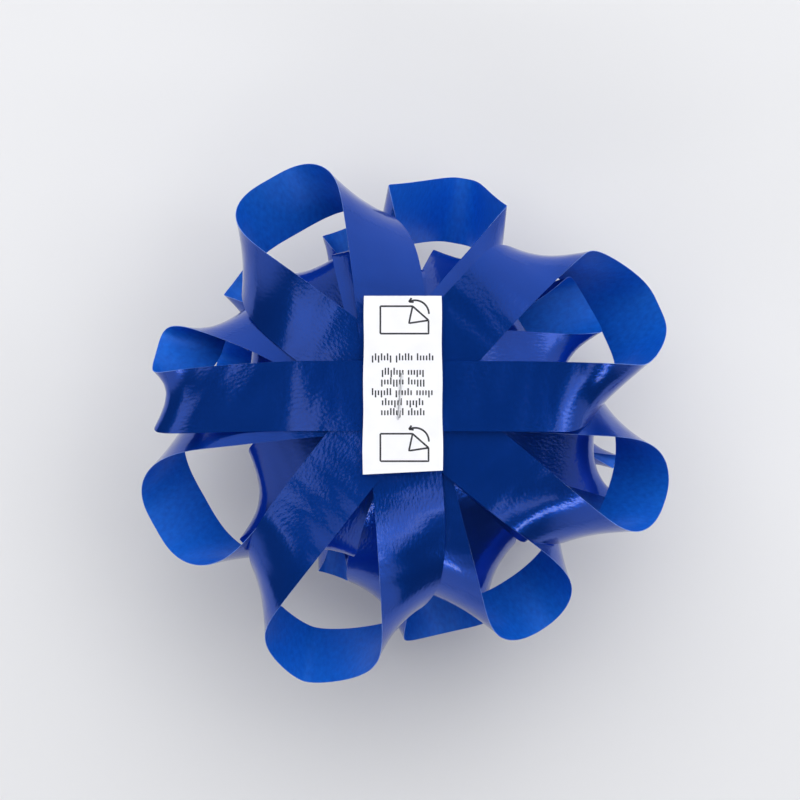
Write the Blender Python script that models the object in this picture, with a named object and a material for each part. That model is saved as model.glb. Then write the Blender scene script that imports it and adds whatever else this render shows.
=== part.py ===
"""A pre-made star gift bow, lying face down with the label on its underside up.

Ribbon loops are crossed at the middle in five layers, pierced by one wire staple. Each loop is a
strip of ribbon bent, without stretching, into part of a cone whose apex lies outside the loop's tip,
so both strands lie flat at the staple and curl away from the label towards the tip. One loop's
inner rim is also drawn out, since that loop rolls over at its tip more than it opens.
Run with: blender --background --python part.py
"""

import math
from collections import namedtuple

import bpy
import numpy as np

MM = 0.001

# Ribbon
RIBBON_WIDTH = 19 * MM
RIBBON_THICKNESS = 0.2 * MM
LEVEL_STEP = 0.5 * MM  # from one crossing strand to the next in the stapled stack
STRAND_GAP = 0.8 * MM  # from the staple's line to each strand's end
LOOP_STEPS = 40  # pieces along a loop
BEND_LENGTH = 22 * MM
DOME_START = 20 * MM  # inside this radius the stack leans as a dome, so the strands stay nested
DOME_FADE = 25 * MM
TWIST_LENGTH = 35 * MM
SWING_LENGTH = 45 * MM
REACH_PLACE = 22 * MM  # from the middle of the strip, on its last strand
REACH_FADE = 30 * MM

# The ring that closes the front of the bow
RING_RADIUS = 11 * MM
RING_TOP_LEVEL = 25.75
RING_LAP = 0.04  # of half a turn, past the top at each end
RING_LAP_STEP = 0.4 * MM

# Staple
WIRE_RADIUS = 0.275 * MM
STAPLE_AZIMUTH = 85.7  # the direction of its crown
LEG_SPACING = 12.3 * MM
CROWN_HEIGHT = 1.4 * MM  # of the crown's middle line above the ribbon stack
LEG_DEPTH = 14.2 * MM
CLINCH_LENGTH = 3.2 * MM
CLINCH_DROP = 0.5 * MM
BEND_RADIUS = 0.6 * MM
LEG_HOLE_RADIUS = 0.55 * MM

# Label: heights above the ribbon stack, and the corners of its outline seen from above
CARRIER_BOTTOM, CARRIER_TOP = 0.0 * MM, 0.25 * MM
ADHESIVE_BOTTOM, ADHESIVE_TOP = 0.42 * MM, 0.57 * MM
LINER_BOTTOM, LINER_TOP = 0.75 * MM, 0.9 * MM
LABEL_LEFT_TOP = (-9.7 * MM, 27.0 * MM)
LABEL_RIGHT_TOP = (11.2 * MM, 27.0 * MM)
LABEL_RIGHT_BOTTOM = (11.6 * MM, -20.1 * MM)
LABEL_LEFT_BOTTOM = (-10.1 * MM, -21.2 * MM)
TAPE_INSET = 0.6 * MM
UPPER_HINGE_Y = 8.2 * MM
LOWER_HINGE_Y = -8.0 * MM
SLIT = 0.3 * MM

# Colours, as linear red, green and blue
RIBBON_BLUE = (0.0, 0.022, 0.3)
WIRE_GREY = (0.62, 0.62, 0.64)
LINER_WHITE = (0.86, 0.86, 0.88)
ADHESIVE_CLEAR = (0.8, 0.78, 0.68)
CARRIER_WHITE = (0.75, 0.76, 0.78)

# In degrees and millimetres. azimuth: of the tip, from +X; crossing: half the angle between the two
# strands; length: half the strip; mouth: how far the loop opens away from the label at its tip;
# pitch: lean of the whole loop; roll: twist about its own length; swing: sideways turn; levels: of
# its two strands in the stack; lean_start: from the staple to where the lean starts; flatness,
# breadth and belly: the shape of the mouth; reach: how much further out the inner rim of the last
# strand goes near the tip.
Loop = namedtuple(
    "Loop",
    "name azimuth crossing length mouth pitch roll swing levels lean_start flatness breadth belly reach",
    defaults=(10, 1.5, 0.85, 0, 0),
)
LOOPS = (
    Loop("base_loop_1", 119, 23.5, 86, 32.5, 1, 4, 1, (3, 4), 16.5, 1.5, 0.7, 0.15),
    Loop("base_loop_2", 78.7, 24.4, 96.2, 39.3, 25.8, -8.9, 0.4, (6, 7), 13.8, 4.7, 0.6, -0.15),
    Loop("base_loop_3", 23.7, 23.9, 96.9, 34.5, 6.2, -13.2, -0.7, (1, 2), 30, 2.5, 0.6, 0),
    Loop("base_loop_4", -18.5, 19, 90.5, 39, 1, -11, -1.5, (4, 5), 12, 1.45, 0.85, 0.15),
    Loop("base_loop_5", -59, 19.5, 91, 39.5, 8.5, -4.5, 2, (7, 8), 15, 1.7, 0.9, 0.25),
    Loop("base_loop_6", 253.5, 21.5, 97, 38.5, -4, -9, -0.5, (2, 3), 18.5, 1.5, 1.2, -0.05),
    Loop("base_loop_7", 207.5, 24, 94, 35.5, -1.5, -3.5, 1.5, (5, 6), 8.5, 1.5, 0.7, 0.2),
    Loop("base_loop_8", 164.5, 15.5, 74.5, 29, 0.5, 28, 3, (8, 1), 23.5, 1.45, 0.7, 0.3, 15),
    Loop("second_loop_1", 42, 18, 71, 25, 19.5, -10.5, -13, (9, 10)),
    Loop("second_loop_2", 148, 15, 70, 25, 30.5, 0, -4.5, (11, 12)),
    Loop("second_loop_3", 217.5, 15, 72.5, 22.5, 26, 6, 9, (9, 10)),
    Loop("second_loop_4", 333, 10.5, 83.5, 29, 29, 4, -3.5, (11, 12)),
    Loop("third_loop_1", -5.5, 8.5, 80, 27, 41.5, -2.5, -10, (13, 14)),
    Loop("third_loop_2", 109.5, 15, 60.5, 26, 34, 1, 0.5, (15, 16)),
    Loop("third_loop_3", 177, 11, 64.5, 26, 29.5, 7, 5, (13, 14)),
    Loop("third_loop_4", 283.5, 16.5, 95.5, 34.5, 32, -3, -1, (15, 16)),
    Loop("fourth_loop_1", 50.5, 16, 82, 26, 49.5, -3, -5, (17, 18)),
    Loop("fourth_loop_2", 164, 15, 81, 51, 46, 6, -2, (19, 20)),
    Loop("fourth_loop_3", 226, 13, 67, 25, 37, -4, 25.5, (17, 18)),
    Loop("fourth_loop_4", 340, 16, 93, 38, 53, -2.5, 3, (19, 20)),
    Loop("front_loop_1", 18, 19, 89.5, 33.5, 77.5, 0, -5, (21, 22)),
    Loop("front_loop_2", 108.5, 22, 84, 52, 86.5, 0, 0.5, (23, 24)),
    Loop("front_loop_3", 193.5, 14, 88, 34.5, 68.5, -1, 20.5, (21, 22)),
    Loop("front_loop_4", 288, 19.5, 88, 55, 43.5, -0.5, 7, (23, 24)),
)


def clear_scene():
    for obj in list(bpy.data.objects):
        bpy.data.objects.remove(obj, do_unlink=True)


def ease(x):
    """0 to 1, level at both ends."""
    x = np.clip(x, 0.0, 1.0)
    return x * x * (3 - 2 * x)


def material(name, colour, roughness, metallic=0.0):
    mat = bpy.data.materials.new(name)
    mat.use_nodes = True
    shader = mat.node_tree.nodes["Principled BSDF"]
    shader.inputs["Base Color"].default_value = (*colour, 1.0)
    shader.inputs["Roughness"].default_value = roughness
    shader.inputs["Metallic"].default_value = metallic
    mat.diffuse_color = (*colour, 1.0)
    return mat


def add_object(name, points, faces, mat):
    mesh = bpy.data.meshes.new(name)
    mesh.from_pydata([tuple(point) for point in points], [], faces)
    mesh.update()
    obj = bpy.data.objects.new(name, mesh)
    bpy.context.scene.collection.objects.link(obj)
    if mat:
        mesh.materials.append(mat)
    return obj


def cone_rim(loop, half_turn, samples=160):
    """The loop as directions from its cone's apex: arc length, elevation and side angle, staple to tip.

    The side angle's size is found by halving, so that the rim's length is exactly half_turn.
    """
    t = np.linspace(0, math.pi, samples)
    elevation = math.radians(loop.mouth) * ((1 - np.cos(t)) / 2) ** loop.flatness
    side = np.abs(np.sin(t)) ** loop.breadth * (1 - loop.belly * np.cos(t))
    side[0] = side[-1] = 0.0
    middle = np.cos((elevation[1:] + elevation[:-1]) / 2)

    def arc_for(size):
        steps = np.hypot(np.diff(elevation), size * np.diff(side) * middle)
        return np.concatenate([[0.0], np.cumsum(steps)])

    low, high = 0.0, 1.5
    for _ in range(40):
        size = (low + high) / 2
        if arc_for(size)[-1] > half_turn:
            high = size
        else:
            low = size
    arc = arc_for(size)
    return arc * (half_turn / arc[-1]), elevation, size * side


def lean(x, y, z, pitch, start):
    """Bends the loop away from the label: as a dome near the staple, about its own line further out."""
    if abs(pitch) < 1e-6:
        return x, z
    bend_radius = BEND_LENGTH / pitch
    from_staple = np.hypot(x, y)
    reach = x + (from_staple - x) * (1 - ease((from_staple - DOME_START) / DOME_FADE))
    along = reach - start
    angle = np.clip(along / BEND_LENGTH, 0, 1) * pitch
    beyond = np.maximum(along - BEND_LENGTH, 0)
    bent_x = start + (bend_radius + z) * np.sin(angle) + (beyond - reach + x) * np.cos(angle)
    bent_z = (bend_radius + z) * np.cos(angle) - bend_radius - beyond * np.sin(angle)
    bent = along > 0
    return np.where(bent, bent_x, x), np.where(bent, bent_z, z)


def turn(first, second, angle):
    return first * np.cos(angle) - second * np.sin(angle), first * np.sin(angle) + second * np.cos(angle)


def loop_grid(loop, steps=LOOP_STEPS, rows=1):
    """Points of a loop's middle surface: steps + 1 along it, rows + 1 across it, first row on the outer rim."""
    half_turn = math.pi / 2 - math.radians(loop.crossing)
    half_length = loop.length * MM
    apex_to_line = half_length / math.tan(half_turn)
    apex_to_staple = half_length / math.sin(half_turn)
    arc, elevation, side = cone_rim(loop, half_turn)
    place = np.linspace(-1, 1, steps + 1)[:, None]
    s = (half_length - STRAND_GAP) * place
    across = np.linspace(-RIBBON_WIDTH / 2, RIBBON_WIDTH / 2, rows + 1)[None, :]
    distance = np.hypot(s, apex_to_line + across)
    turned = np.arctan2(s, apex_to_line + across)
    inside = np.minimum(np.abs(turned), half_turn)
    up = np.interp(half_turn - inside, arc, elevation)
    out = np.interp(half_turn - inside, arc, side)
    past = np.abs(turned) > half_turn
    up = np.where(past, 0.0, up)
    out = np.where(past, half_turn - np.abs(turned), out)
    x = apex_to_staple - distance * np.cos(up) * np.cos(out)
    y = np.sign(turned) * distance * np.cos(up) * np.sin(out)
    z = -distance * np.sin(up)
    start = loop.lean_start * MM
    x, z = lean(x, y, z, math.radians(loop.pitch), start)
    twist = math.radians(loop.roll) * ease((np.hypot(x, z) - start) / TWIST_LENGTH)
    y, z = turn(y, z, twist)
    swing = math.radians(loop.swing) * ease((np.hypot(x, y) - start) / SWING_LENGTH)
    x, y = turn(x, y, swing)
    bulge = ease(1 - np.abs(s - REACH_PLACE) / REACH_FADE) * (across / RIBBON_WIDTH + 0.5)
    x = x + loop.reach * MM * bulge * math.cos(math.radians(loop.crossing))
    y = y + loop.reach * MM * bulge * math.sin(math.radians(loop.crossing))
    first, last = loop.levels
    z = z - LEVEL_STEP * (first + (last - first) * ease((place + 0.45) / 0.9))
    x, y = turn(x, y, math.radians(loop.azimuth))
    return np.stack([x, y, z], axis=-1)


def ring_grid(steps=LOOP_STEPS, rows=1):
    """The ring under the stack: a turn and a little more, its ends lapped at the staple."""
    place = np.linspace(-1, 1, steps + 1)[:, None]
    angle = math.pi * (1 + RING_LAP) * place
    radius = RING_RADIUS - RING_LAP_STEP * (place + 1) / 2
    across = np.linspace(-RIBBON_WIDTH / 2, RIBBON_WIDTH / 2, rows + 1)[None, :]
    x = radius * np.sin(angle) + 0 * across
    y = across + 0 * angle
    z = -RING_TOP_LEVEL * LEVEL_STEP - RING_RADIUS - radius * np.cos(angle) + 0 * across
    x, y = turn(x, y, math.radians(STAPLE_AZIMUTH - 90))
    return np.stack([x, y, z], axis=-1)


def cut_holes(obj, cutter):
    cut = obj.modifiers.new("Leg holes", "BOOLEAN")
    cut.operation = "DIFFERENCE"
    cut.object = cutter


def ribbon(name, grid, cutter):
    """A strip given its thickness, with holes where the staple's legs go through it."""
    steps, rows = grid.shape[0] - 1, grid.shape[1] - 1
    wide = rows + 1
    faces = []
    for i in range(steps):
        for j in range(rows):
            corner = i * wide + j
            faces.append((corner, corner + wide, corner + wide + 1))
            faces.append((corner, corner + wide + 1, corner + 1))
    colour = material(name + "_film", RIBBON_BLUE, 0.12)
    obj = add_object(name, grid.reshape(-1, 3), faces, colour)
    solidify = obj.modifiers.new("Thickness", "SOLIDIFY")
    solidify.thickness = RIBBON_THICKNESS
    solidify.offset = 0.0
    cut_holes(obj, cutter)
    obj.data.shade_smooth()


def leg_places():
    direction = math.radians(STAPLE_AZIMUTH)
    reach = LEG_SPACING / 2
    top = (reach * math.cos(direction), reach * math.sin(direction))
    return top, (-top[0], -top[1])


def leg_cutter(name, radius, bottom, top, sides=8):
    """Two upright prisms, one round each leg."""
    points, faces = [], []
    for centre in leg_places():
        first = len(points)
        for z in (bottom, top):
            for k in range(sides):
                angle = 2 * math.pi * (k + 0.5) / sides
                points.append((centre[0] + radius * math.cos(angle), centre[1] + radius * math.sin(angle), z))
        faces.append(tuple(first + k for k in reversed(range(sides))))
        faces.append(tuple(first + sides + k for k in range(sides)))
        for k in range(sides):
            after = (k + 1) % sides
            faces.append((first + k, first + after, first + sides + after, first + sides + k))
    cutter = add_object(name, points, faces, None)
    cutter.hide_render = True
    cutter.display_type = "WIRE"
    return cutter


def staple_path():
    """One half of the wire in its own plane: out along the crown, down the leg, in along the clinch."""
    half, low = LEG_SPACING / 2, -LEG_DEPTH
    points = [(0.0, CROWN_HEIGHT)]
    corner = (half - BEND_RADIUS, CROWN_HEIGHT - BEND_RADIUS)
    for k in range(5):
        angle = math.pi / 2 * (1 - k / 4)
        points.append((corner[0] + BEND_RADIUS * math.cos(angle), corner[1] + BEND_RADIUS * math.sin(angle)))
    corner = (half - BEND_RADIUS, low + BEND_RADIUS)
    for k in range(5):
        angle = -math.pi / 2 * k / 4
        points.append((corner[0] + BEND_RADIUS * math.cos(angle), corner[1] + BEND_RADIUS * math.sin(angle)))
    points.append((half - BEND_RADIUS - CLINCH_LENGTH, low - CLINCH_DROP))
    return points


def staple():
    half = staple_path()
    whole = [(-x, z) for x, z in reversed(half[1:])] + half
    curve = bpy.data.curves.new("staple", "CURVE")
    curve.dimensions = "3D"
    curve.bevel_depth = WIRE_RADIUS
    curve.bevel_resolution = 2
    curve.use_fill_caps = True
    spline = curve.splines.new("POLY")
    spline.points.add(len(whole) - 1)
    direction = math.radians(STAPLE_AZIMUTH)
    for point, (along, z) in zip(spline.points, whole):
        point.co = (along * math.cos(direction), along * math.sin(direction), z, 1.0)
    curve.materials.append(material("staple_wire", WIRE_GREY, 0.25, 1.0))
    obj = bpy.data.objects.new("staple", curve)
    bpy.context.scene.collection.objects.link(obj)
    return obj


def label_edge(x_top, x_bottom, y):
    """Where the label's side crosses height y."""
    top, bottom = LABEL_LEFT_TOP[1], LABEL_LEFT_BOTTOM[1]
    return x_bottom + (x_top - x_bottom) * (y - bottom) / (top - bottom)


def label_corners(low, high, inset=0.0):
    """The four corners of the stretch of label between two heights."""
    corners = []
    for y, first, second in ((low, -1, 1), (high, 1, -1)):
        for way in (first, second):
            if way < 0:
                x = label_edge(LABEL_LEFT_TOP[0], LABEL_LEFT_BOTTOM[0], y) + inset
            else:
                x = label_edge(LABEL_RIGHT_TOP[0], LABEL_RIGHT_BOTTOM[0], y) - inset
            corners.append((x, y))
    return corners


def sheet(name, corners, bottom, top, mat, cutter=None, hinge_y=None):
    """A flat piece with these corners, anticlockwise from above. A flap has its origin on its hinge."""
    count = len(corners)
    origin = (0.0, 0.0, 0.0) if hinge_y is None else (0.0, hinge_y, (bottom + top) / 2)
    points = [(x, y - origin[1], z - origin[2]) for z in (bottom, top) for x, y in corners]
    faces = [tuple(reversed(range(count))), tuple(range(count, 2 * count))]
    for k in range(count):
        after = (k + 1) % count
        faces.append((k, after, count + after, count + k))
    obj = add_object(name, points, faces, mat)
    obj.location = origin
    if cutter:
        cut_holes(obj, cutter)


def label_pieces(cutter):
    """The tape that sticks the bow down, and its liner: a middle strip under the staple and two flaps."""
    high, low = LABEL_LEFT_TOP[1], LABEL_LEFT_BOTTOM[1]
    right_low = LABEL_RIGHT_BOTTOM[1]
    tape = label_corners(low + 1.2 * MM + TAPE_INSET, high - TAPE_INSET, TAPE_INSET)
    carrier = material("tape_film", CARRIER_WHITE, 0.5)
    glue = material("adhesive_film", ADHESIVE_CLEAR, 0.2)
    sheet("tape_carrier", tape, CARRIER_BOTTOM, CARRIER_TOP, carrier, cutter)
    sheet("adhesive_layer", tape, ADHESIVE_BOTTOM, ADHESIVE_TOP, glue, cutter)
    upper = label_corners(UPPER_HINGE_Y + SLIT / 2, high)
    middle = label_corners(LOWER_HINGE_Y + SLIT / 2, UPPER_HINGE_Y - SLIT / 2)
    lower = label_corners(low, LOWER_HINGE_Y - SLIT / 2)
    lower[1] = (LABEL_RIGHT_BOTTOM[0], right_low)
    pieces = (
        ("liner_upper_flap", upper, None, UPPER_HINGE_Y),
        ("liner_middle_strip", middle, cutter, None),
        ("liner_lower_flap", lower, None, LOWER_HINGE_Y),
    )
    for name, corners, holes, hinge_y in pieces:
        paper = material(name + "_paper", LINER_WHITE, 0.35)
        sheet(name, corners, LINER_BOTTOM, LINER_TOP, paper, holes, hinge_y)


def move_origin():
    """Puts the origin at the middle of the bottom of the whole bow's box."""
    bpy.context.view_layer.update()
    graph = bpy.context.evaluated_depsgraph_get()
    points = []
    for obj in bpy.context.scene.objects:
        if obj.hide_render:
            continue
        evaluated = obj.evaluated_get(graph)
        mesh = evaluated.to_mesh()
        points += [evaluated.matrix_world @ vertex.co for vertex in mesh.vertices]
        evaluated.to_mesh_clear()
    points = np.array(points)
    low, high = points.min(axis=0), points.max(axis=0)
    shift = ((low[0] + high[0]) / 2, (low[1] + high[1]) / 2, low[2])
    for obj in bpy.context.scene.objects:
        obj.location = [place - by for place, by in zip(obj.location, shift)]


def build():
    clear_scene()
    cutter = leg_cutter("leg_cutter", LEG_HOLE_RADIUS, -LEG_DEPTH - 0.8 * MM, 3 * MM)
    for loop in LOOPS:
        ribbon(loop.name, loop_grid(loop), cutter)
    ribbon("centre_ring", ring_grid(), cutter)
    staple()
    label_pieces(cutter)
    move_origin()


build()
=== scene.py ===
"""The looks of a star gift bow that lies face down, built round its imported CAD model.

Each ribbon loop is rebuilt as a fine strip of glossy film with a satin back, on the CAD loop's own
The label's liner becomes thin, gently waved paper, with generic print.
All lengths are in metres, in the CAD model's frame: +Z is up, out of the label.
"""

import math
from collections import namedtuple

import bpy
import numpy as np
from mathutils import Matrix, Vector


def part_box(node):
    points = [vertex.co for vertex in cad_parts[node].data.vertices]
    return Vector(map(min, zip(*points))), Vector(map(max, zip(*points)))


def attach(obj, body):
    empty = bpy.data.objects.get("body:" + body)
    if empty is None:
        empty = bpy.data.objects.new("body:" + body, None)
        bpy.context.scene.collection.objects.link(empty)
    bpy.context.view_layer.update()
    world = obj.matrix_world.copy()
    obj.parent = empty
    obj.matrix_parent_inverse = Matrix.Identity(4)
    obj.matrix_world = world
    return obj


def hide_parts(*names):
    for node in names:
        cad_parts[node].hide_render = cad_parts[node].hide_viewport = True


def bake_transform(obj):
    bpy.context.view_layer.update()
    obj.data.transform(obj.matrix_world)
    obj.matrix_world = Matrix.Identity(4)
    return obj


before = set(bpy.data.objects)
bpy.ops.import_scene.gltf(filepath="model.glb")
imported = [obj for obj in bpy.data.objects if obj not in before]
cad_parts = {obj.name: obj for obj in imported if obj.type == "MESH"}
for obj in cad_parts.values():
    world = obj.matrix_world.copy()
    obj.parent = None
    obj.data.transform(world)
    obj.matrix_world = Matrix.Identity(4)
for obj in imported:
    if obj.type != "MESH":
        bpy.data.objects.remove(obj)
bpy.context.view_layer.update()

MM = 0.001

# Ribbon, as in the CAD model
RIBBON_WIDTH = 19 * MM
FILM_THICKNESS = 0.12 * MM
LEVEL_STEP = 0.5 * MM  # from one crossing strand to the next in the stapled stack
STRAND_GAP = 0.8 * MM  # from the staple's line to each strand's end
BEND_LENGTH = 22 * MM
DOME_START = 20 * MM  # inside this radius the stack leans as a dome, so the strands stay nested
DOME_FADE = 25 * MM
TWIST_LENGTH = 35 * MM
SWING_LENGTH = 45 * MM
REACH_PLACE = 22 * MM  # from the middle of the strip, on its last strand
REACH_FADE = 30 * MM
CHANGE_HALF = 0.45  # of half the strip, over which it changes from one level to the other
LOOP_STEPS = 160  # pieces along a loop
LOOP_ROWS = 6  # pieces across it
SHARP_EDGE = 50  # degrees, over which an edge is shaded as a corner

# The ring that closes the front of the bow
RING_RADIUS = 11 * MM
RING_TOP_LEVEL = 25.75
RING_LAP = 0.04  # of half a turn, past the top at each end
RING_LAP_STEP = 0.4 * MM
STAPLE_AZIMUTH = 85.7  # the direction of its crown

# Staple and label, as heights above the ribbon stack
STAPLE_TOP = 1.675 * MM
LINER_BOTTOM, LINER_TOP = 0.75 * MM, 0.9 * MM
PAPER_THICKNESS = 0.1 * MM
PAPER_WAVE = 0.03 * MM
EDGE_WAVE = 0.08 * MM  # of the liner's two long cut edges
UPPER_HINGE_Y = 8.2 * MM
LOWER_HINGE_Y = -8.0 * MM

# Where the CAD model has the staple's axis and the top of the ribbon stack
staple_low, staple_high = (np.array(corner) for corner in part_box("staple"))
CENTRE = (staple_low + staple_high) / 2
CENTRE[2] = staple_high[2] - STAPLE_TOP

# In degrees and millimetres, as in the CAD model. azimuth: of the tip, from +X; crossing: half the
# angle between the two strands; length: half the strip; mouth: how far the loop opens away from the
# label at its tip; pitch: lean of the whole loop; roll: twist about its own length; swing: sideways
# turn; levels: of its two strands in the stack; lean_start: from the staple to where the lean starts;
# flatness, breadth and belly: the shape of the mouth; reach: how much further out the inner rim of
# the last strand goes near the tip.
Loop = namedtuple(
    "Loop",
    "name azimuth crossing length mouth pitch roll swing levels lean_start flatness breadth belly reach",
    defaults=(10, 1.5, 0.85, 0, 0),
)
LOOPS = (
    Loop("base_loop_1", 119, 23.5, 86, 32.5, 1, 4, 1, (3, 4), 16.5, 1.5, 0.7, 0.15),
    Loop("base_loop_2", 78.7, 24.4, 96.2, 39.3, 25.8, -8.9, 0.4, (6, 7), 13.8, 4.7, 0.6, -0.15),
    Loop("base_loop_3", 23.7, 23.9, 96.9, 34.5, 6.2, -13.2, -0.7, (1, 2), 30, 2.5, 0.6, 0),
    Loop("base_loop_4", -18.5, 19, 90.5, 39, 1, -11, -1.5, (4, 5), 12, 1.45, 0.85, 0.15),
    Loop("base_loop_5", -59, 19.5, 91, 39.5, 8.5, -4.5, 2, (7, 8), 15, 1.7, 0.9, 0.25),
    Loop("base_loop_6", 253.5, 21.5, 97, 38.5, -4, -9, -0.5, (2, 3), 18.5, 1.5, 1.2, -0.05),
    Loop("base_loop_7", 207.5, 24, 94, 35.5, -1.5, -3.5, 1.5, (5, 6), 8.5, 1.5, 0.7, 0.2),
    Loop("base_loop_8", 164.5, 15.5, 74.5, 29, 0.5, 28, 3, (8, 1), 23.5, 1.45, 0.7, 0.3, 15),
    Loop("second_loop_1", 42, 18, 71, 25, 19.5, -10.5, -13, (9, 10)),
    Loop("second_loop_2", 148, 15, 70, 25, 30.5, 0, -4.5, (11, 12)),
    Loop("second_loop_3", 217.5, 15, 72.5, 22.5, 26, 6, 9, (9, 10)),
    Loop("second_loop_4", 333, 10.5, 83.5, 29, 29, 4, -3.5, (11, 12)),
    Loop("third_loop_1", -5.5, 8.5, 80, 27, 41.5, -2.5, -10, (13, 14)),
    Loop("third_loop_2", 109.5, 15, 60.5, 26, 34, 1, 0.5, (15, 16)),
    Loop("third_loop_3", 177, 11, 64.5, 26, 29.5, 7, 5, (13, 14)),
    Loop("third_loop_4", 283.5, 16.5, 95.5, 34.5, 32, -3, -1, (15, 16)),
    Loop("fourth_loop_1", 50.5, 16, 82, 26, 49.5, -3, -5, (17, 18)),
    Loop("fourth_loop_2", 164, 15, 81, 51, 46, 6, -2, (19, 20)),
    Loop("fourth_loop_3", 226, 13, 67, 25, 37, -4, 25.5, (17, 18)),
    Loop("fourth_loop_4", 340, 16, 93, 38, 53, -2.5, 3, (19, 20)),
    Loop("front_loop_1", 18, 19, 89.5, 33.5, 77.5, 0, -5, (21, 22)),
    Loop("front_loop_2", 108.5, 22, 84, 52, 86.5, 0, 0.5, (23, 24)),
    Loop("front_loop_3", 193.5, 14, 88, 34.5, 68.5, -1, 20.5, (21, 22)),
    Loop("front_loop_4", 288, 19.5, 88, 55, 43.5, -0.5, 7, (23, 24)),
)


def ease(x):
    """0 to 1, level at both ends."""
    x = np.clip(x, 0.0, 1.0)
    return x * x * (3 - 2 * x)


# ---------------------------------------------------------------- materials


def new_material(name):
    mat = bpy.data.materials.new(name)
    mat.use_nodes = True
    nodes, links = mat.node_tree.nodes, mat.node_tree.links
    return mat, nodes, links, nodes["Principled BSDF"]


def set_shader(shader, colour, **sockets):
    """Sets the Principled shader's sockets, each named with _ for a space."""
    shader.inputs["Base Color"].default_value = (*colour, 1.0)
    for name, value in sockets.items():
        shader.inputs[name.replace("_", " ")].default_value = value


def add_noise(nodes, links, coordinates, scale, stretch=(1, 1, 1), detail=3.0):
    """A noise texture's factor on the given coordinates."""
    mapping = nodes.new("ShaderNodeMapping")
    mapping.inputs["Scale"].default_value = stretch
    noise = nodes.new("ShaderNodeTexNoise")
    noise.inputs["Scale"].default_value = scale
    noise.inputs["Detail"].default_value = detail
    links.new(coordinates, mapping.inputs["Vector"])
    links.new(mapping.outputs["Vector"], noise.inputs["Vector"])
    return noise.outputs["Fac"]


def add_ramp(nodes, links, factor, stops):
    ramp = nodes.new("ShaderNodeValToRGB")
    while len(ramp.color_ramp.elements) < len(stops):
        ramp.color_ramp.elements.new(0.5)
    for element, (place, colour) in zip(ramp.color_ramp.elements, stops):
        element.position = place
        element.color = (*colour, 1.0)
    links.new(factor, ramp.inputs["Fac"])
    return ramp.outputs["Color"]


def add_bump(nodes, links, height, distance, strength=1.0, normal=None):
    bump = nodes.new("ShaderNodeBump")
    bump.inputs["Strength"].default_value = strength
    bump.inputs["Distance"].default_value = distance
    links.new(height, bump.inputs["Height"])
    if normal:
        links.new(normal, bump.inputs["Normal"])
    return bump.outputs["Normal"]


def along_ribbon(nodes):
    return nodes.new("ShaderNodeTexCoord").outputs["UV"]


def in_space(nodes):
    return nodes.new("ShaderNodeTexCoord").outputs["Object"]


def film_material():
    """The ribbon's outside: deep blue under a clear, slightly rippled gloss."""
    mat, nodes, links, shader = new_material("film_gloss")
    set_shader(
        shader,
        (0.002, 0.054, 0.38),
        Roughness=0.22,
        Metallic=0.7,
        Specular_IOR_Level=0.2,
        Coat_Weight=0.75,
        Coat_Roughness=0.03,
        Coat_IOR=1.45,
    )
    place = along_ribbon(nodes)
    tone = add_noise(nodes, links, place, 60, detail=2.0)
    colour = add_ramp(nodes, links, tone, ((0.3, (0.001, 0.049, 0.36)), (0.7, (0.003, 0.059, 0.41))))
    links.new(colour, shader.inputs["Base Color"])
    ripple = add_noise(nodes, links, place, 1300, (0.6, 1.0, 1.0), 2.0)
    wave = add_noise(nodes, links, place, 110, (1.0, 0.4, 1.0), 1.0)
    waved = add_bump(nodes, links, wave, 0.4 * MM)
    rippled = add_bump(nodes, links, ripple, 0.045 * MM, 1.0, waved)
    links.new(rippled, shader.inputs["Normal"])
    links.new(rippled, shader.inputs["Coat Normal"])
    return mat


def satin_material():
    """The ribbon's inside: a brighter blue with a fine pearly grain."""
    mat, nodes, links, shader = new_material("film_satin")
    set_shader(
        shader,
        (0.004, 0.135, 0.7),
        Roughness=0.42,
        Metallic=0.3,
        Specular_IOR_Level=0.5,
    )
    place = along_ribbon(nodes)
    tone = add_noise(nodes, links, place, 900, (1.0, 0.6, 1.0), 4.0)
    colour = add_ramp(nodes, links, tone, ((0.25, (0.003, 0.11, 0.62)), (0.75, (0.006, 0.165, 0.78))))
    links.new(colour, shader.inputs["Base Color"])
    grain = add_noise(nodes, links, place, 1800, (1.0, 0.7, 1.0), 3.0)
    links.new(add_bump(nodes, links, grain, 0.03 * MM), shader.inputs["Normal"])
    return mat


def edge_highlight_material():
    """The ribbon's cut edges: blue, with a paler painted highlight so they show as thin bright lines."""
    mat, nodes, links, shader = new_material("film_edge_painted_highlight")
    # Painted highlight: a paler blue than the film, standing in for light caught on the cut edges.
    set_shader(shader, (0.12, 0.26, 0.75), Roughness=0.25, Coat_Weight=0.5)
    tone = add_noise(nodes, links, along_ribbon(nodes), 400, detail=2.0)
    colour = add_ramp(nodes, links, tone, ((0.3, (0.05, 0.16, 0.6)), (0.7, (0.25, 0.42, 0.9))))
    links.new(colour, shader.inputs["Base Color"])
    return mat


def paper_material():
    """The liner: smooth white release paper."""
    mat, nodes, links, shader = new_material("liner_paper")
    set_shader(shader, (0.92, 0.92, 0.95), Roughness=0.42, Specular_IOR_Level=0.45)
    place = in_space(nodes)
    tone = add_noise(nodes, links, place, 160, detail=3.0)
    colour = add_ramp(nodes, links, tone, ((0.3, (0.89, 0.89, 0.93)), (0.7, (0.94, 0.94, 0.97))))
    links.new(colour, shader.inputs["Base Color"])
    fibre = add_noise(nodes, links, place, 2600, detail=2.0)
    links.new(add_bump(nodes, links, fibre, 0.012 * MM), shader.inputs["Normal"])
    return mat


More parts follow.
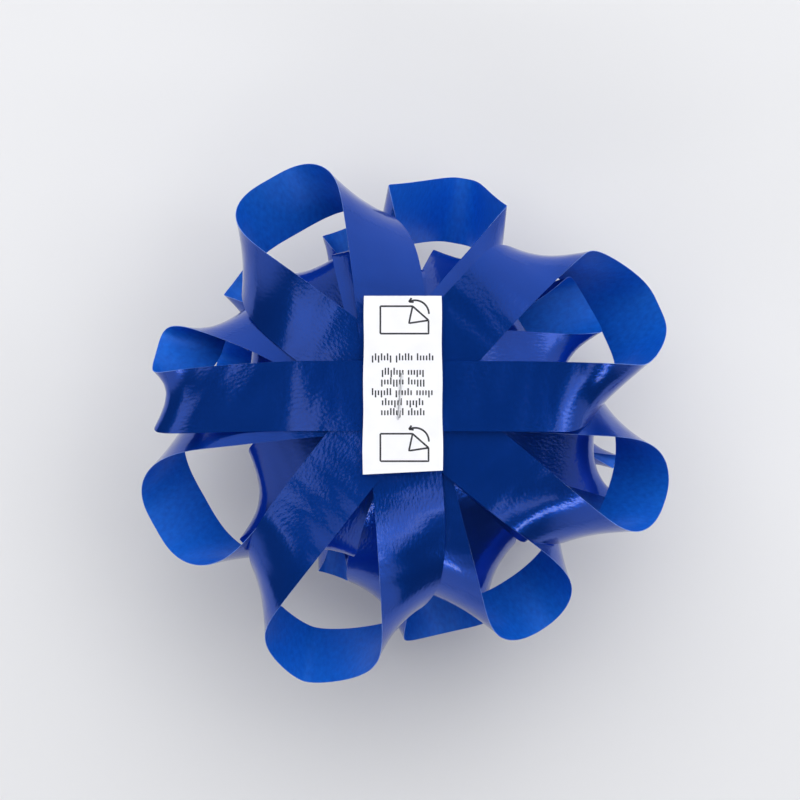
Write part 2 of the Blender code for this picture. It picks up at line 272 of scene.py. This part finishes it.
def ink_material():
    """The print on the liner."""
    mat, nodes, links, shader = new_material("label_ink")
    set_shader(shader, (0.02, 0.02, 0.025), Roughness=0.5)
    tone = add_noise(nodes, links, in_space(nodes), 1500, detail=2.0)
    colour = add_ramp(nodes, links, tone, ((0.3, (0.012, 0.012, 0.016)), (0.7, (0.05, 0.05, 0.06))))
    links.new(colour, shader.inputs["Base Color"])
    return mat


def tape_material():
    """The matt carrier film under the adhesive."""
    mat, nodes, links, shader = new_material("tape_film")
    set_shader(shader, (0.7, 0.71, 0.74), Roughness=0.45)
    tone = add_noise(nodes, links, in_space(nodes), 300, detail=2.0)
    colour = add_ramp(nodes, links, tone, ((0.3, (0.64, 0.65, 0.68)), (0.7, (0.74, 0.75, 0.78))))
    links.new(colour, shader.inputs["Base Color"])
    return mat


def adhesive_material():
    """Tacky adhesive: cream, glossy and finely dimpled."""
    mat, nodes, links, shader = new_material("adhesive_film")
    set_shader(shader, (0.78, 0.76, 0.66), Roughness=0.22, Coat_Weight=0.6, Coat_Roughness=0.15)
    place = in_space(nodes)
    tone = add_noise(nodes, links, place, 220, detail=3.0)
    colour = add_ramp(nodes, links, tone, ((0.3, (0.7, 0.68, 0.58)), (0.7, (0.82, 0.8, 0.7))))
    links.new(colour, shader.inputs["Base Color"])
    dimples = add_noise(nodes, links, place, 900, detail=1.0)
    links.new(add_bump(nodes, links, dimples, 0.05 * MM), shader.inputs["Normal"])
    return mat


def wire_material():
    """Bright drawn steel wire."""
    mat, nodes, links, shader = new_material("staple_wire")
    set_shader(shader, (0.78, 0.79, 0.81), Roughness=0.38, Metallic=0.8)
    place = in_space(nodes)
    tone = add_noise(nodes, links, place, 700, detail=2.0)
    colour = add_ramp(nodes, links, tone, ((0.3, (0.66, 0.67, 0.7)), (0.7, (0.86, 0.87, 0.89))))
    links.new(colour, shader.inputs["Base Color"])
    scratches = add_noise(nodes, links, place, 4000, detail=2.0)
    links.new(add_bump(nodes, links, scratches, 0.01 * MM), shader.inputs["Normal"])
    return mat


# ---------------------------------------------------------------- ribbon shapes


def cone_rim(loop, half_turn, samples=160):
    """The loop as directions from its cone's apex: arc length, elevation and side angle, staple to tip.

    The side angle's size is found by halving, so that the rim's length is exactly half_turn.
    """
    t = np.linspace(0, math.pi, samples)
    elevation = math.radians(loop.mouth) * ((1 - np.cos(t)) / 2) ** loop.flatness
    side = np.abs(np.sin(t)) ** loop.breadth * (1 - loop.belly * np.cos(t))
    side[0] = side[-1] = 0.0
    middle = np.cos((elevation[1:] + elevation[:-1]) / 2)

    def arc_for(size):
        steps = np.hypot(np.diff(elevation), size * np.diff(side) * middle)
        return np.concatenate([[0.0], np.cumsum(steps)])

    low, high = 0.0, 1.5
    for _ in range(40):
        size = (low + high) / 2
        if arc_for(size)[-1] > half_turn:
            high = size
        else:
            low = size
    arc = arc_for(size)
    return arc * (half_turn / arc[-1]), elevation, size * side


def lean(x, y, z, pitch, start):
    """Bends the loop away from the label: as a dome near the staple, about its own line further out."""
    if abs(pitch) < 1e-6:
        return x, z
    bend_radius = BEND_LENGTH / pitch
    from_staple = np.hypot(x, y)
    reach = x + (from_staple - x) * (1 - ease((from_staple - DOME_START) / DOME_FADE))
    along = reach - start
    angle = np.clip(along / BEND_LENGTH, 0, 1) * pitch
    beyond = np.maximum(along - BEND_LENGTH, 0)
    bent_x = start + (bend_radius + z) * np.sin(angle) + (beyond - reach + x) * np.cos(angle)
    bent_z = (bend_radius + z) * np.cos(angle) - bend_radius - beyond * np.sin(angle)
    bent = along > 0
    return np.where(bent, bent_x, x), np.where(bent, bent_z, z)


def turn(first, second, angle):
    return first * np.cos(angle) - second * np.sin(angle), first * np.sin(angle) + second * np.cos(angle)


def rims_to_grid(x, y, z, rows):
    """Straight rulings between the strip's two rims, moved to the CAD model's place."""
    rims = np.stack([x, y, z], axis=-1) + CENTRE
    across = np.linspace(0, 1, rows + 1)[None, :, None]
    return rims[:, :1] * (1 - across) + rims[:, 1:] * across


def loop_grid(loop, steps=LOOP_STEPS, rows=LOOP_ROWS):
    """Points of a loop's middle surface: steps + 1 along it and rows + 1 across it, from the outer rim."""
    half_turn = math.pi / 2 - math.radians(loop.crossing)
    half_length = loop.length * MM
    apex_to_line = half_length / math.tan(half_turn)
    apex_to_staple = half_length / math.sin(half_turn)
    arc, elevation, side = cone_rim(loop, half_turn)
    place = np.linspace(-1, 1, steps + 1)[:, None]
    s = (half_length - STRAND_GAP) * place
    across = np.array([[-RIBBON_WIDTH / 2, RIBBON_WIDTH / 2]])
    distance = np.hypot(s, apex_to_line + across)
    turned = np.arctan2(s, apex_to_line + across)
    inside = np.minimum(np.abs(turned), half_turn)
    up = np.interp(half_turn - inside, arc, elevation)
    out = np.interp(half_turn - inside, arc, side)
    past = np.abs(turned) > half_turn
    up = np.where(past, 0.0, up)
    out = np.where(past, half_turn - np.abs(turned), out)
    x = apex_to_staple - distance * np.cos(up) * np.cos(out)
    y = np.sign(turned) * distance * np.cos(up) * np.sin(out)
    z = -distance * np.sin(up)
    start = loop.lean_start * MM
    x, z = lean(x, y, z, math.radians(loop.pitch), start)
    twist = math.radians(loop.roll) * ease((np.hypot(x, z) - start) / TWIST_LENGTH)
    y, z = turn(y, z, twist)
    swing = math.radians(loop.swing) * ease((np.hypot(x, y) - start) / SWING_LENGTH)
    x, y = turn(x, y, swing)
    bulge = ease(1 - np.abs(s - REACH_PLACE) / REACH_FADE) * (across / RIBBON_WIDTH + 0.5)
    x = x + loop.reach * MM * bulge * math.cos(math.radians(loop.crossing))
    y = y + loop.reach * MM * bulge * math.sin(math.radians(loop.crossing))
    first, last = loop.levels
    z = z - LEVEL_STEP * (first + (last - first) * ease((place / CHANGE_HALF + 1) / 2))
    x, y = turn(x, y, math.radians(loop.azimuth))
    return rims_to_grid(x, y, z, rows)


def ring_grid(steps=LOOP_STEPS, rows=LOOP_ROWS):
    """The ring under the stack: a turn and a little more, its ends lapped at the staple."""
    place = np.linspace(-1, 1, steps + 1)[:, None]
    angle = math.pi * (1 + RING_LAP) * place
    radius = RING_RADIUS - RING_LAP_STEP * (place + 1) / 2
    across = np.array([[-RIBBON_WIDTH / 2, RIBBON_WIDTH / 2]])
    x = radius * np.sin(angle) + 0 * across
    y = across + 0 * angle
    z = -RING_TOP_LEVEL * LEVEL_STEP - RING_RADIUS - radius * np.cos(angle) + 0 * across
    x, y = turn(x, y, math.radians(STAPLE_AZIMUTH - 90))
    return rims_to_grid(x, y, z, rows)


def add_object(name, points, faces, mats):
    mesh = bpy.data.meshes.new(name)
    mesh.from_pydata([tuple(point) for point in points], [], faces)
    for mat in mats:
        mesh.materials.append(mat)
    mesh.update()
    obj = bpy.data.objects.new(name, mesh)
    bpy.context.scene.collection.objects.link(obj)
    return obj


def grid_faces(steps, rows):
    """Four-cornered faces between the points of a grid that is steps pieces long and rows wide."""
    wide = rows + 1
    corners = (i * wide + j for i in range(steps) for j in range(rows))
    return [(corner, corner + 1, corner + wide + 1, corner + wide) for corner in corners]


def strip(name, grid, length, thickness, mats):
    """A smooth strip with thickness: the first material on its face, the others on its back and edges.

    Its UV map is in metres, along and across the strip.
    """
    steps, rows = grid.shape[0] - 1, grid.shape[1] - 1
    obj = add_object(name, grid.reshape(-1, 3), grid_faces(steps, rows), mats)
    layer = obj.data.uv_layers.new(name="strip")
    for corner, vertex in enumerate(loop.vertex_index for loop in obj.data.loops):
        place = divmod(vertex, rows + 1)
        layer.data[corner].uv = (length * place[0] / steps, RIBBON_WIDTH * place[1] / rows)
    solidify = obj.modifiers.new("Thickness", "SOLIDIFY")
    solidify.thickness = thickness
    solidify.offset = 0.0
    solidify.use_even_offset = True
    solidify.material_offset = 1
    solidify.material_offset_rim = 2
    crease = obj.modifiers.new("Sharp edges", "EDGE_SPLIT")
    crease.split_angle = math.radians(SHARP_EDGE)
    obj.data.shade_smooth()
    return obj


def add_ribbons():
    """Every loop and the ring, each in place of its CAD node."""
    mats = (film_material(), satin_material(), edge_highlight_material())
    for loop in LOOPS:
        length = 2 * (loop.length * MM - STRAND_GAP)
        name = loop.name + "_ribbon"
        obj = strip(name, loop_grid(loop), length, FILM_THICKNESS, mats)
        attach(obj, "root")
        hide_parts(loop.name)
    length = 2 * math.pi * (1 + RING_LAP) * RING_RADIUS
    ring = strip("centre_ring_ribbon", ring_grid(), length, FILM_THICKNESS, mats)
    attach(ring, "root")
    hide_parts("centre_ring")


# ---------------------------------------------------------------- label


def label_outline(node):
    """The CAD sheet's corners, lower left, lower right, upper right, upper left."""
    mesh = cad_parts[node].data
    points = np.array([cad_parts[node].matrix_world @ vertex.co for vertex in mesh.vertices])
    flat = points[:, :2] - CENTRE[:2]
    lean_up = flat[:, 0] + flat[:, 1]
    lean_down = flat[:, 0] - flat[:, 1]
    picks = (lean_up.argmin(), lean_down.argmax(), lean_up.argmax(), lean_down.argmin())
    return [flat[pick] for pick in picks]


def paper_height(x, y):
    """The liner's gentle waves, far smaller than the gap under it."""
    return PAPER_WAVE * np.sin(x / (3.1 * MM) + 0.6) * np.cos(y / (5.3 * MM))


def paper_sheet(name, corners, mat, columns=24, rows=24):
    """A thin paper sheet between the four corners, with slightly uneven cut edges."""
    u, v = np.meshgrid(np.linspace(0, 1, columns + 1), np.linspace(0, 1, rows + 1))
    u, v = u[..., None], v[..., None]
    low = (1 - u) * corners[0] + u * corners[1]
    high = (1 - u) * corners[3] + u * corners[2]
    flat = (1 - v) * low + v * high
    x, y = flat[..., 0], flat[..., 1]
    x = x + EDGE_WAVE * np.sin(y / (2.9 * MM)) * (2 * u[..., 0] - 1)
    z = (LINER_BOTTOM + LINER_TOP) / 2 + paper_height(x, y)
    points = np.stack([x, y, z], axis=-1) + CENTRE
    obj = add_object(name, points.reshape(-1, 3), grid_faces(rows, columns), (mat,))
    solidify = obj.modifiers.new("Thickness", "SOLIDIFY")
    solidify.thickness = PAPER_THICKNESS
    solidify.offset = 0.0
    crease = obj.modifiers.new("Sharp edges", "EDGE_SPLIT")
    crease.split_angle = math.radians(SHARP_EDGE)
    obj.data.shade_smooth()
    return obj


INK_STEP = 0.4 * MM  # between two points of a printed stroke
INK_LIFT = 0.015 * MM  # of the ink over the paper

Mark = namedtuple("Mark", "points width")

# Generic print, in millimetres
TICK_PITCH = 0.8
TICK_WIDTH = 0.4
X_HEIGHT, TALL = 1.3, 1.9
PEN_WIDTH, ARROW_WIDTH = 0.48, 0.5


def fine_line(corners):
    """The line through the corners, with points close enough to bend with the paper, in metres."""
    line = np.array(corners, float) * MM
    reach = np.concatenate([[0.0], np.cumsum(np.linalg.norm(np.diff(line, axis=0), axis=1))])
    places = np.linspace(0, reach[-1], math.ceil(reach[-1] / INK_STEP) + 1)
    return np.stack([np.interp(places, reach, line[:, k]) for k in (0, 1)], axis=-1)


def print_marks(name, marks, mat):
    """Flat printed strokes on the paper, each a line of points with a width."""
    points, faces = [], []
    top = (LINER_BOTTOM + LINER_TOP + PAPER_THICKNESS) / 2 + INK_LIFT
    for mark in marks:
        line = fine_line(mark.points)
        pace = np.gradient(line, axis=0)
        side = np.stack([-pace[:, 1], pace[:, 0]], axis=-1)
        side /= np.linalg.norm(side, axis=1, keepdims=True)
        first = len(points)
        for centre, across in zip(line, side):
            for way in (-0.5, 0.5):
                x, y = centre + way * mark.width * MM * across
                points.append(np.array([x, y, top + paper_height(x, y)]) + CENTRE)
        for k in range(len(line) - 1):
            corner = first + 2 * k
            faces.append((corner, corner + 2, corner + 3, corner + 1))
    return add_object(name, points, faces, (mat,))


def arc(centre, radius, start, end, count=14):
    """Points of an arc, in millimetres and degrees."""
    angles = np.radians(np.linspace(start, end, count))
    return [(centre[0] + radius * math.cos(a), centre[1] + radius * math.sin(a)) for a in angles]


def line_of_print(y, left, right, words):
    """One row of generic print: thin upright ticks in groups, with no letter shapes."""
    rng = np.random.default_rng(words + round(10 * abs(y)))
    kinds = [(0.0, X_HEIGHT), (0.0, X_HEIGHT), (0.0, TALL), (X_HEIGHT - TALL, X_HEIGHT)]
    count = round((right - left) / TICK_PITCH)
    gaps = set(round(count * k / words) for k in range(1, words))
    marks = []
    for k in range(count):
        low, high = rng.choice(kinds)
        if k not in gaps:
            x = left + (k + 0.5) * (right - left) / count
            marks.append(Mark([(x, y + low), (x, y + high)], TICK_WIDTH))
    return marks


def peel_picture(x, y):
    """A generic picture of a sheet with its corner turned over and an arrow, about 13 mm wide."""
    fold_top, fold_right = (x + 2.2, y + 3.2), (x + 6.5, y - 0.6)
    tip = (x + 1.2, y + 4.4)
    return [
        Mark([(x - 6.5, y + 3.2), (x - 6.5, y - 4.2), (x + 6.5, y - 4.2), fold_right], PEN_WIDTH),
        Mark([(x - 6.5, y + 3.2), fold_top, fold_right], PEN_WIDTH),
        Mark([fold_top, (x + 1.2, y - 1.4), fold_right], PEN_WIDTH),
        Mark(arc((x + 2.9, y + 1.1), 3.7, 0, 118), ARROW_WIDTH),
        Mark([(x + 1.9, y + 5.4), tip, (x + 2.5, y + 4.3)], ARROW_WIDTH),
    ]


def add_label():
    """The liner's three paper pieces with their print, and the materials of what stays CAD."""
    paper, ink = paper_material(), ink_material()
    tape, adhesive = tape_material(), adhesive_material()
    for node, mat in (("tape_carrier", tape), ("adhesive_layer", adhesive), ("staple", wire_material())):
        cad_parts[node].data.materials.clear()
        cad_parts[node].data.materials.append(mat)
    upper = [
        peel_picture(1.2, 21.0),
        line_of_print(9.6, -7.8, 9.2, 3),
    ]
    middle = [
        line_of_print(5.7, -5.1, 6.6, 2),
        line_of_print(3.1, -5.3, 6.8, 2),
        line_of_print(0.2, -7.8, 9.0, 3),
        line_of_print(-2.5, -5.1, 6.5, 2),
        line_of_print(-5.2, -5.3, 6.8, 2),
    ]
    lower = [peel_picture(1.2, -13.4)]
    pieces = (
        ("upper", "liner_upper_flap", "upper_flap", UPPER_HINGE_Y, 1, upper),
        ("middle", "liner_middle_strip", "root", None, 0, middle),
        ("lower", "liner_lower_flap", "lower_flap", LOWER_HINGE_Y, -1, lower),
    )
    outlines = {part: label_outline(node) for part, node, *_ in pieces}
    for above, below in (("upper", "middle"), ("middle", "lower")):
        for high, low in ((0, 3), (1, 2)):
            seam = (outlines[above][high] + outlines[below][low]) / 2
            outlines[above][high] = outlines[below][low] = seam
    for part, node, body, hinge, way, rows in pieces:
        sheet = paper_sheet(f"liner_{part}_paper", outlines[part], paper)
        marks = print_marks(f"label_{part}_print", [mark for row in rows for mark in row], ink)
        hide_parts(node)
        for obj in (sheet, marks):
            if hinge is None:
                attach(obj, body)
                continue
            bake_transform(obj)


# ---------------------------------------------------------------- stage, light, camera


FLOOR_WIDTH = 6.0


def add_floor():
    """The plain pale table that the bow lies on."""
    mat, nodes, links, shader = new_material("floor_white")
    set_shader(shader, (0.8, 0.8, 0.82), Roughness=0.55)
    tone = add_noise(nodes, links, in_space(nodes), 6, detail=2.0)
    colour = add_ramp(nodes, links, tone, ((0.3, (0.79, 0.79, 0.80)), (0.7, (0.81, 0.81, 0.82))))
    links.new(colour, shader.inputs["Base Color"])
    half = FLOOR_WIDTH / 2
    corners = [(-half, -half, 0), (half, -half, 0), (half, half, 0), (-half, half, 0)]
    floor = add_object("floor", corners, [(0, 1, 2, 3)], (mat,))


def add_light(name, azimuth, elevation, distance, size, power, colour=(1, 1, 1)):
    """A soft panel that faces the bow. The angles are in degrees."""
    light = bpy.data.lights.new(name, "AREA")
    light.shape = "RECTANGLE"
    light.size, light.size_y = size
    light.energy = power
    light.color = colour
    obj = bpy.data.objects.new(name, light)
    bpy.context.scene.collection.objects.link(obj)
    across, up = math.radians(azimuth), math.radians(elevation)
    obj.location = (
        distance * math.cos(up) * math.cos(across),
        distance * math.cos(up) * math.sin(across),
        distance * math.sin(up),
    )
    obj.rotation_euler = (math.pi / 2 - up, 0, across + math.pi / 2)
    return obj


BRIGHT_SIDE = 55  # azimuth of the side the room is bright on, in degrees


def add_lights():
    """A room that is bright on one side and dim on the other, a big softbox and small bright panels."""
    world = bpy.data.worlds.new("studio")
    world.use_nodes = True
    nodes, links = world.node_tree.nodes, world.node_tree.links
    along = nodes.new("ShaderNodeMapping")
    along.inputs["Rotation"].default_value = (0, 0, math.radians(-BRIGHT_SIDE))
    links.new(nodes.new("ShaderNodeTexCoord").outputs["Generated"], along.inputs["Vector"])
    split = nodes.new("ShaderNodeSeparateXYZ")
    links.new(along.outputs["Vector"], split.inputs["Vector"])
    centred = nodes.new("ShaderNodeMapRange")
    centred.inputs["From Min"].default_value = -1.0
    links.new(split.outputs["X"], centred.inputs["Value"])
    room = (
        (0.0, (0.75, 0.75, 0.78)),
        (0.12, (0.6, 0.6, 0.63)),
        (0.2, (0.05, 0.055, 0.07)),
        (0.555, (0.014, 0.018, 0.03)),
        (0.565, (0.48, 0.5, 0.53)),
        (1.0, (0.85, 0.85, 0.88)),
    )
    background = nodes["Background"]
    links.new(add_ramp(nodes, links, centred.outputs["Result"], room), background.inputs["Color"])
    background.inputs["Strength"].default_value = 1.0
    bpy.context.scene.world = world
    key = add_light("softbox_above", 95, 50, 1.8, (3.0, 2.2), 35, (1.0, 1.0, 0.99))
    key.visible_glossy = False
    add_light("panel_left", 186, 72, 1.5, (0.5, 0.5), 0.75)
    add_light("panel_right", -32, 70, 1.5, (0.6, 0.4), 0.75)
    add_light("panel_far_right", 4, 57, 1.5, (0.6, 0.7), 1.8)
    add_light("panel_below", -62, 64, 1.5, (0.9, 0.2), 0.5)
    add_light("strip_below", -90, 42, 1.5, (1.4, 0.12), 3)


CAMERA_HEIGHT = 750 * MM  # above the label
CAMERA_Y = -1.1 * MM  # from the staple
FRAMED_WIDTH = 216 * MM  # at the label
SENSOR_WIDTH = 36.0


def add_camera():
    """Straight above the bow, with the label upright in the picture."""
    data = bpy.data.cameras.new("camera")
    data.sensor_width = SENSOR_WIDTH
    data.lens = SENSOR_WIDTH * CAMERA_HEIGHT / FRAMED_WIDTH
    data.clip_start = 0.01
    camera = bpy.data.objects.new("camera", data)
    bpy.context.scene.collection.objects.link(camera)
    camera.location = CENTRE + (0, CAMERA_Y, CAMERA_HEIGHT)
    bpy.context.scene.camera = camera


add_camera()
add_ribbons()
add_label()
add_floor()
add_lights()
bpy.context.scene.view_settings.view_transform = "Standard"
